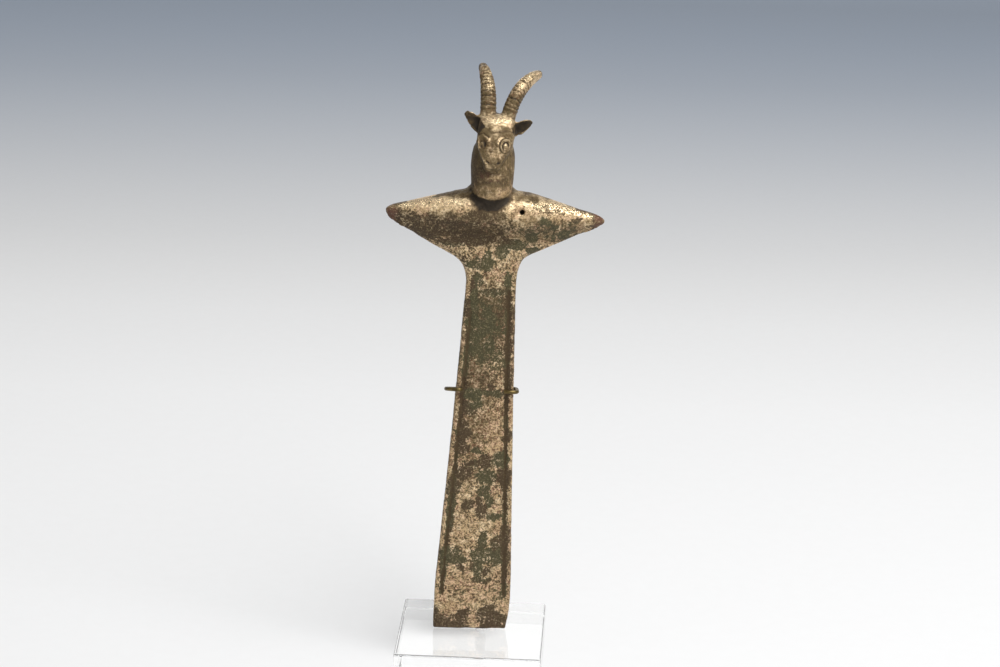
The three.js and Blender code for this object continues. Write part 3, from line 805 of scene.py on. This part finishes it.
def makeAxe():
    piece = skinned()
    mesh = piece.data
    edges = np.empty(len(mesh.edges) * 2, int)
    mesh.edges.foreach_get("vertices", edges)
    edges = edges.reshape(-1, 2)
    points = evenedOut(toCasting(readPoints(mesh)), edges)
    print("casting skinned:", len(points), "points")

    # corrosion: a slightly lumpy skin; then what is cut and modelled by hand
    normals = pointNormals(mesh, points)
    skin = coatedSkin(points, normals)
    lumps = 0.16 * swell(points, 5, 61) + 0.12 * swell(points, 1.4, 71)
    points = points + normals * (lumps - 0.06 * fade(skin.dark, 0.35, 0.6))[:, None]
    dirtAndShade = 0
    for carve in (carveFace, carveNeck, carveHorns):
        out, held = carve(points, normals)
        points = points + normals * out[:, None]
        dirtAndShade = dirtAndShade + held

    # dirt and painted shade, wear and painted highlights, and the ears' shaded hollows come last, on the
    # carved shape
    normals = pointNormals(mesh, points)
    hollow = dirtAndShadeInHollows(points, normals, edges, dirtAndShade)
    wearAndHighlight, paintedHighlight = wornAndLitTops(points, normals, dirtAndShade)
    shadedEarHollow, litRim = earMarks(points, normals)
    # painted shade and dirt in the ears' hollows
    earShadeAndDirt = shadedEarHollow * (0.35 + 0.9 * layeredCloud(points, 1.6, 141))
    values = {
        "dark": skin.dark + 0.4 * shadedEarHollow,
        "tone": skin.tone,
        "film": np.maximum(skin.film * (1 - 0.85 * paintedHighlight), shadedEarHollow),
        "hollow": np.clip(np.maximum(hollow + 0.6 * shadedEarHollow, earShadeAndDirt), 0, 1),
        "wearAndHighlight": np.maximum(wearAndHighlight, 0.8 * litRim) * (1 - shadedEarHollow),
        "calm": skin.calm,
    }
    for name, value in values.items():
        layer = mesh.attributes.new(name, "FLOAT", "POINT")
        layer.data.foreach_set("value", value.astype(np.float32))
    mesh.polygons.foreach_set("use_smooth", [True] * len(mesh.polygons))
    finishAs(piece, patinaBronze(), "axe_head")
    print("casting finished:", sum(len(p.vertices) - 2 for p in mesh.polygons), "triangles")


cradle = {
    "radius": 0.67, "height": 87.2,
    "clear": 0.46,  # between the wire and the blade
    "left": -8.9, "right": 9.8, "corner": 1.9,  # where it turns forward, and how tightly on the right
    "leftTip": 1.3, "rightTip": 3.4,  # how far the hooks reach in over the front
    "leftSlope": 0.31, "rightSlope": 0.18, "rise": 0.6,  # up towards the front, and up to the right
    "postRadius": 1.6, "postX": 2.9, "postY": 6.2, "postAbove": 3, "postFrom": 3.3, "postBevel": 0.4,
    "weld": 0.001,  # points of the wire closer than this are one
}


# the wire's middle line in the casting's frame: left hook, the run behind the blade, right hook
def hookLine():
    up = cradle["height"] / blade["narrowAt"]
    thick = blade["edgeThick"] + (blade["topThick"] - blade["edgeThick"]) * up
    away = cradle["clear"] + cradle["radius"]
    out = thick / 2 + away
    corner = cradle["corner"]
    bend = cradle["right"] + away - corner
    level = [(cradle["left"] + cradle["leftTip"], -out)]
    arcs = (  # middle across and back, radius, and where each starts and ends, in half turns
        (cradle["left"], 0, out, 1.5, 0.5),
        (bend, out - corner, corner, 0.5, 0),
        (bend, corner - out, corner, 0, -0.5),
    )
    for middleX, middleY, radius, start, end in arcs:
        for turn in np.linspace(start, end, 17) * pi:
            level.append((middleX + radius * cos(turn), middleY + radius * sin(turn)))
    level.append((cradle["right"] - cradle["rightTip"], -out))
    x, y = np.array(level).T
    across = fade(x, cradle["left"], cradle["right"])
    slope = cradle["leftSlope"] + (cradle["rightSlope"] - cradle["leftSlope"]) * across
    return np.stack([x, y, cradle["height"] + cradle["rise"] * across - slope * y], axis=1)


def makeWire():
    curve = bpy.data.curves.new("wire", "CURVE")
    curve.dimensions = "3D"
    curve.bevel_depth = cradle["radius"] * mm
    curve.bevel_resolution = 6
    curve.use_fill_caps = True
    places = fromCasting(hookLine())
    line = curve.splines.new("POLY")
    line.points.add(len(places) - 1)
    line.points.foreach_set("co", np.column_stack([places, np.ones(len(places))]).ravel())
    piece = link(bpy.data.objects.new("cradle_wire", curve))
    mesh = bpy.data.meshes.new_from_object(piece.evaluated_get(bpy.context.evaluated_depsgraph_get()))
    bpy.data.objects.remove(piece)
    bm = bmesh.new()
    bm.from_mesh(mesh)
    bmesh.ops.remove_doubles(bm, verts=bm.verts, dist=cradle["weld"] * mm)
    bmesh.ops.recalc_face_normals(bm, faces=bm.faces[:])
    return pieceFrom(bm, "wire_cradle")


def makePost():
    top = blockHigh.z / mm + cradle["height"] + cradle["postAbove"]
    bottom = cradle["postFrom"]
    radius = cradle["postRadius"] * mm
    bm = bmesh.new()
    bmesh.ops.create_cone(bm, cap_ends=True, segments=40, radius1=radius, radius2=radius,
                          depth=(top - bottom) * mm)
    ends = [e for e in bm.edges if abs(e.verts[0].co.z - e.verts[1].co.z) < 0.01 * mm]
    bmesh.ops.bevel(bm, geom=ends, offset=cradle["postBevel"] * mm, segments=4, profile=0.5,
                    affect="EDGES", material=-1)
    middle = Vector((cradle["postX"], cradle["postY"], (top + bottom) / 2)) * mm
    bmesh.ops.translate(bm, vec=middle, verts=bm.verts)
    return pieceFrom(bm, "post")


# one piece joined to another or cut out of it, and then gone
def combine(piece, other, operation):
    change = piece.modifiers.new("combine", "BOOLEAN")
    change.operation = operation
    change.solver = "EXACT"
    change.object = other
    settle(piece)
    bpy.data.objects.remove(other)


def makeCradle():
    piece = makeWire()
    combine(piece, makePost(), "UNION")
    finishAs(piece, tonedBrass(), "cradle")
    print("cradle finished:", len(piece.data.polygons), "faces")


block = {"bevel": 0.7, "rounds": 3, "socketRadius": 1.85, "socketDepth": 9}


def makeBlock():
    bm = bmesh.new()
    bmesh.ops.create_cube(bm, size=1)
    bmesh.ops.scale(bm, vec=blockHigh - blockLow, verts=bm.verts)
    bmesh.ops.translate(bm, vec=(blockLow + blockHigh) / 2, verts=bm.verts)
    bmesh.ops.bevel(bm, geom=bm.edges[:], offset=block["bevel"] * mm, segments=block["rounds"], profile=0.5,
                    affect="EDGES", material=-1)
    piece = pieceFrom(bm, "clear_block", smooth=False)
    drill = bmesh.new()
    radius = block["socketRadius"] * mm
    bmesh.ops.create_cone(drill, cap_ends=True, segments=48, radius1=radius, radius2=radius,
                          depth=block["socketDepth"] * 2 * mm)
    middle = Vector((cradle["postX"] * mm, cradle["postY"] * mm, blockHigh.z))
    bmesh.ops.translate(drill, vec=middle, verts=drill.verts)
    combine(piece, pieceFrom(drill, "drill"), "DIFFERENCE")
    # the lamps light the paper through the block
    piece.visible_shadow = False
    piece.visible_diffuse = False
    finishAs(piece, clearAcrylic(), "foot")
    print("clear block finished")


studio = {
    "floor": -0.25,  # a hair below the block, so that the two do not touch
    "near": -1600, "wallAt": 2400, "wide": 3400, "high": 1700, "bend": 600,
    "paper": 0.42,  # how much of the lamps' light it gives back
    "glow": {-0.2: 0.44, 0.16: 0.47, 0.28: 0.475, 0.41: 0.435, 0.55: 0.35, 0.73: 0.275,
             0.96: 0.19, 1.25: 0.125, 1.7: 0.2, 2.3: 0.95},  # metres back: strength
    "nearTint": (250, 250, 250), "farTint": (220, 232, 249), "fibreTint": (215, 214, 210),
}


def palePaper():
    n = Nodes("pale paper")
    axes = n.tree.nodes.new("ShaderNodeSeparateXYZ")
    n.wire(n.coords, axes.inputs["Vector"])
    back = axes.outputs["Y"]
    distant = n.times(n.ramp(back, 0.45, 1.2), n.ramp(back, 1.6, 2.1, (1, 0)))
    tint = n.mix(distant, rgb(*studio["nearTint"]), rgb(*studio["farTint"]))
    fibres = n.noise(n.mapped(60), 3, 4, 0.6)
    tint = n.mix(n.ramp(fibres, 0.3, 0.7, (0, 0.03)), tint, rgb(*studio["fibreTint"]))
    stops = list(studio["glow"].items())
    strength = stops[0][1]
    for (start, before), (end, after) in zip(stops, stops[1:]):
        strength = n.sum(strength, n.ramp(back, start, end, (0, after - before), "LINEAR"))
    # the paper's glow is painted light: bright near the block, fading farther back, and bright again on the
    # far wall
    n.finish("Emission Color", tint)
    n.finish("Emission Strength", strength)
    n.finish("Base Color", n.mix(1.0, tint, (studio["paper"],) * 3 + (1,), "MULTIPLY"))
    n.finish("Roughness", 0.9)
    n.finish("Specular IOR Level", 0)
    return n.material


def makeBackdrop():
    bm = bmesh.new()
    half = studio["wide"] / 2 * mm
    floor = studio["floor"] * mm
    start = bm.verts.new((-half, studio["near"] * mm, floor))
    end = bm.verts.new((-half, (studio["wallAt"] - studio["bend"]) * mm, floor))
    bm.edges.new((start, end))
    middle = Vector((-half, end.co.y, floor + studio["bend"] * mm))
    spun = bmesh.ops.spin(bm, geom=[end], cent=middle, axis=(1, 0, 0), angle=pi / 2, steps=24)
    last = [g for g in spun["geom_last"] if isinstance(g, bmesh.types.BMVert)][0]
    top = bmesh.ops.extrude_vert_indiv(bm, verts=[last])["verts"][0]
    top.co.z = studio["high"] * mm
    across = bmesh.ops.extrude_edge_only(bm, edges=bm.edges[:])
    moved = [g for g in across["geom"] if isinstance(g, bmesh.types.BMVert)]
    bmesh.ops.translate(bm, vec=(2 * half, 0, 0), verts=moved)
    bmesh.ops.recalc_face_normals(bm, faces=bm.faces[:])
    bm.faces.sort(key=lambda face: face.calc_center_median().y)  # in the same order each run
    piece = pieceFrom(bm, "backdrop")
    piece.data.materials.append(palePaper())
    print("backdrop made")


lamps = {
    "top": {"place": (400, -390, 980), "size": (650, 650), "power": 17},
    "left": {"place": (-900, -500, 500), "size": (500, 900), "power": 0.8},
}
lampTarget = (0, 0, 100)
room = {"tint": (0.94, 0.97, 1, 1), "strength": 0.18}


def makeLights():
    for name, lamp in lamps.items():
        data = bpy.data.lights.new(name, "AREA")
        data.shape = "RECTANGLE"
        data.size = lamp["size"][0] * mm
        data.size_y = lamp["size"][1] * mm
        data.energy = lamp["power"]
        light = link(bpy.data.objects.new(name, data))
        place = Vector(lamp["place"]) * mm
        aim = (place - Vector(lampTarget) * mm).to_track_quat("Z", "Y").to_matrix().to_4x4()
        light.matrix_world = Matrix.Translation(place) @ aim
    world = bpy.data.worlds.new("room")
    world.use_nodes = True
    background = world.node_tree.nodes["Background"]
    background.inputs["Color"].default_value = room["tint"]
    background.inputs["Strength"].default_value = room["strength"]
    bpy.context.scene.world = world
    bpy.context.scene.view_settings.view_transform = "Standard"
    print("lights set")


makeCamera()
makeBackdrop()
makeLights()
makeAxe()
makeCradle()
makeBlock()
